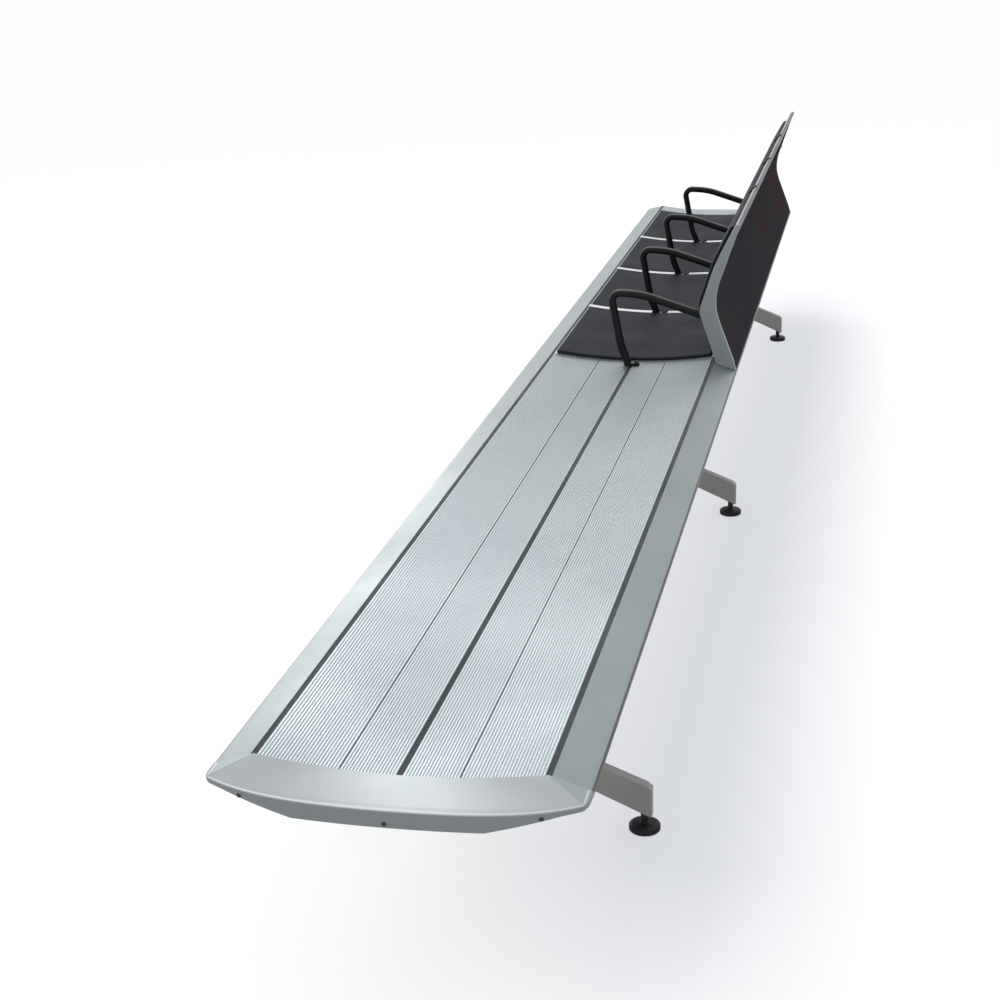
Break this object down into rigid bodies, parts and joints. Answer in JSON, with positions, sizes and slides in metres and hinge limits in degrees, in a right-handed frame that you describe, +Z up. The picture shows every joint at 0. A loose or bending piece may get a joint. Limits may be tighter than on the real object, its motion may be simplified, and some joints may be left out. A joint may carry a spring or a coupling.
{
  "type": "beam seating bench",
  "caption": "Long beam-mounted bench: ribbed metal deck on one half, upholstered seats with a continuous back and loop armrests on the other, on sloping blade legs with levelling feet.",
  "frame": {"origin": "on the floor under the middle of the bench", "axes": "+X along the bench towards the ribbed deck end, the sitters face -Y, +Z up"},
  "size_m": [5.254, 0.632, 0.8295],
  "materials": {
    "deck_aluminium": "satin",
    "rail_aluminium": "satin",
    "dark_channel": "matte",
    "pad_leatherette": "satin",
    "back_panel": "satin",
    "arm_black": "satin",
    "leg_aluminium": "satin",
    "foot_black": "matte",
    "frame_metal": "satin",
    "bolt_steel": "satin"
  },
  "bodies": {
    "frame": {"armrest_1": "arm_black", "armrest_2": "arm_black", "armrest_3": "arm_black", "armrest_4": "arm_black", "armrest_screws": "bolt_steel", "back_front_shell": "back_panel", "back_gap_strips": "dark_channel", "back_pad_1": "pad_leatherette", "back_pad_2": "pad_leatherette", "back_pad_3": "pad_leatherette", "back_pad_4": "pad_leatherette", "back_rear_panel": "back_panel", "back_top_rail": "rail_aluminium", "back_upright_1": "frame_metal", "back_upright_2": "frame_metal", "back_upright_3": "frame_metal", "bearer_bolts": "bolt_steel", "centre_channel": "dark_channel", "cross_bearer_1": "frame_metal", "cross_bearer_2": "frame_metal", "cross_bearer_3": "frame_metal", "cross_bearer_4": "frame_metal", "cross_bearer_5": "frame_metal", "cross_bearer_6": "frame_metal", "cross_bearer_7": "frame_metal", "cross_bearer_8": "frame_metal", "deck_plank_front_inner": "deck_aluminium", "deck_plank_front_outer": "deck_aluminium", "deck_plank_rear_inner": "deck_aluminium", "deck_plank_rear_outer": "deck_aluminium", "end_cap_far": "rail_aluminium", "end_cap_near": "rail_aluminium", "end_cap_screws": "bolt_steel", "end_pan": "deck_aluminium", "front_channel": "dark_channel", "front_rail": "rail_aluminium", "leg_1": "leg_aluminium", "leg_2": "leg_aluminium", "leg_3": "leg_aluminium", "leg_bolts": "bolt_steel", "main_beam": "frame_metal", "rear_channel": "dark_channel", "rear_rail": "rail_aluminium", "seat_pad_1": "pad_leatherette", "seat_pad_2": "pad_leatherette", "seat_pad_3": "pad_leatherette", "seat_pad_4": "pad_leatherette", "seat_pan_1": "deck_aluminium", "seat_pan_2": "deck_aluminium", "seat_pan_3": "deck_aluminium", "seat_pan_4": "deck_aluminium", "side_cap_far": "rail_aluminium", "side_cap_near": "rail_aluminium", "side_cap_screws": "bolt_steel"},
    "foot_front_1": {"foot_front_1": "foot_black"},
    "foot_front_2": {"foot_front_2": "foot_black"},
    "foot_front_3": {"foot_front_3": "foot_black"},
    "foot_rear_1": {"foot_rear_1": "foot_black"},
    "foot_rear_2": {"foot_rear_2": "foot_black"},
    "foot_rear_3": {"foot_rear_3": "foot_black"}
  },
  "joints": [
    {"name": "foot_front_1_screw_travel", "type": "slide", "parent": "frame", "child": "foot_front_1", "axis": [0, 0, -1], "range_m": [0, 0.02]},
    {"name": "foot_front_2_screw_travel", "type": "slide", "parent": "frame", "child": "foot_front_2", "axis": [0, 0, -1], "range_m": [0, 0.02]},
    {"name": "foot_front_3_screw_travel", "type": "slide", "parent": "frame", "child": "foot_front_3", "axis": [0, 0, -1], "range_m": [0, 0.02]},
    {"name": "foot_rear_1_screw_travel", "type": "slide", "parent": "frame", "child": "foot_rear_1", "axis": [0, 0, -1], "range_m": [0, 0.02]},
    {"name": "foot_rear_2_screw_travel", "type": "slide", "parent": "frame", "child": "foot_rear_2", "axis": [0, 0, -1], "range_m": [0, 0.02]},
    {"name": "foot_rear_3_screw_travel", "type": "slide", "parent": "frame", "child": "foot_rear_3", "axis": [0, 0, -1], "range_m": [0, 0.02]}
  ]
}
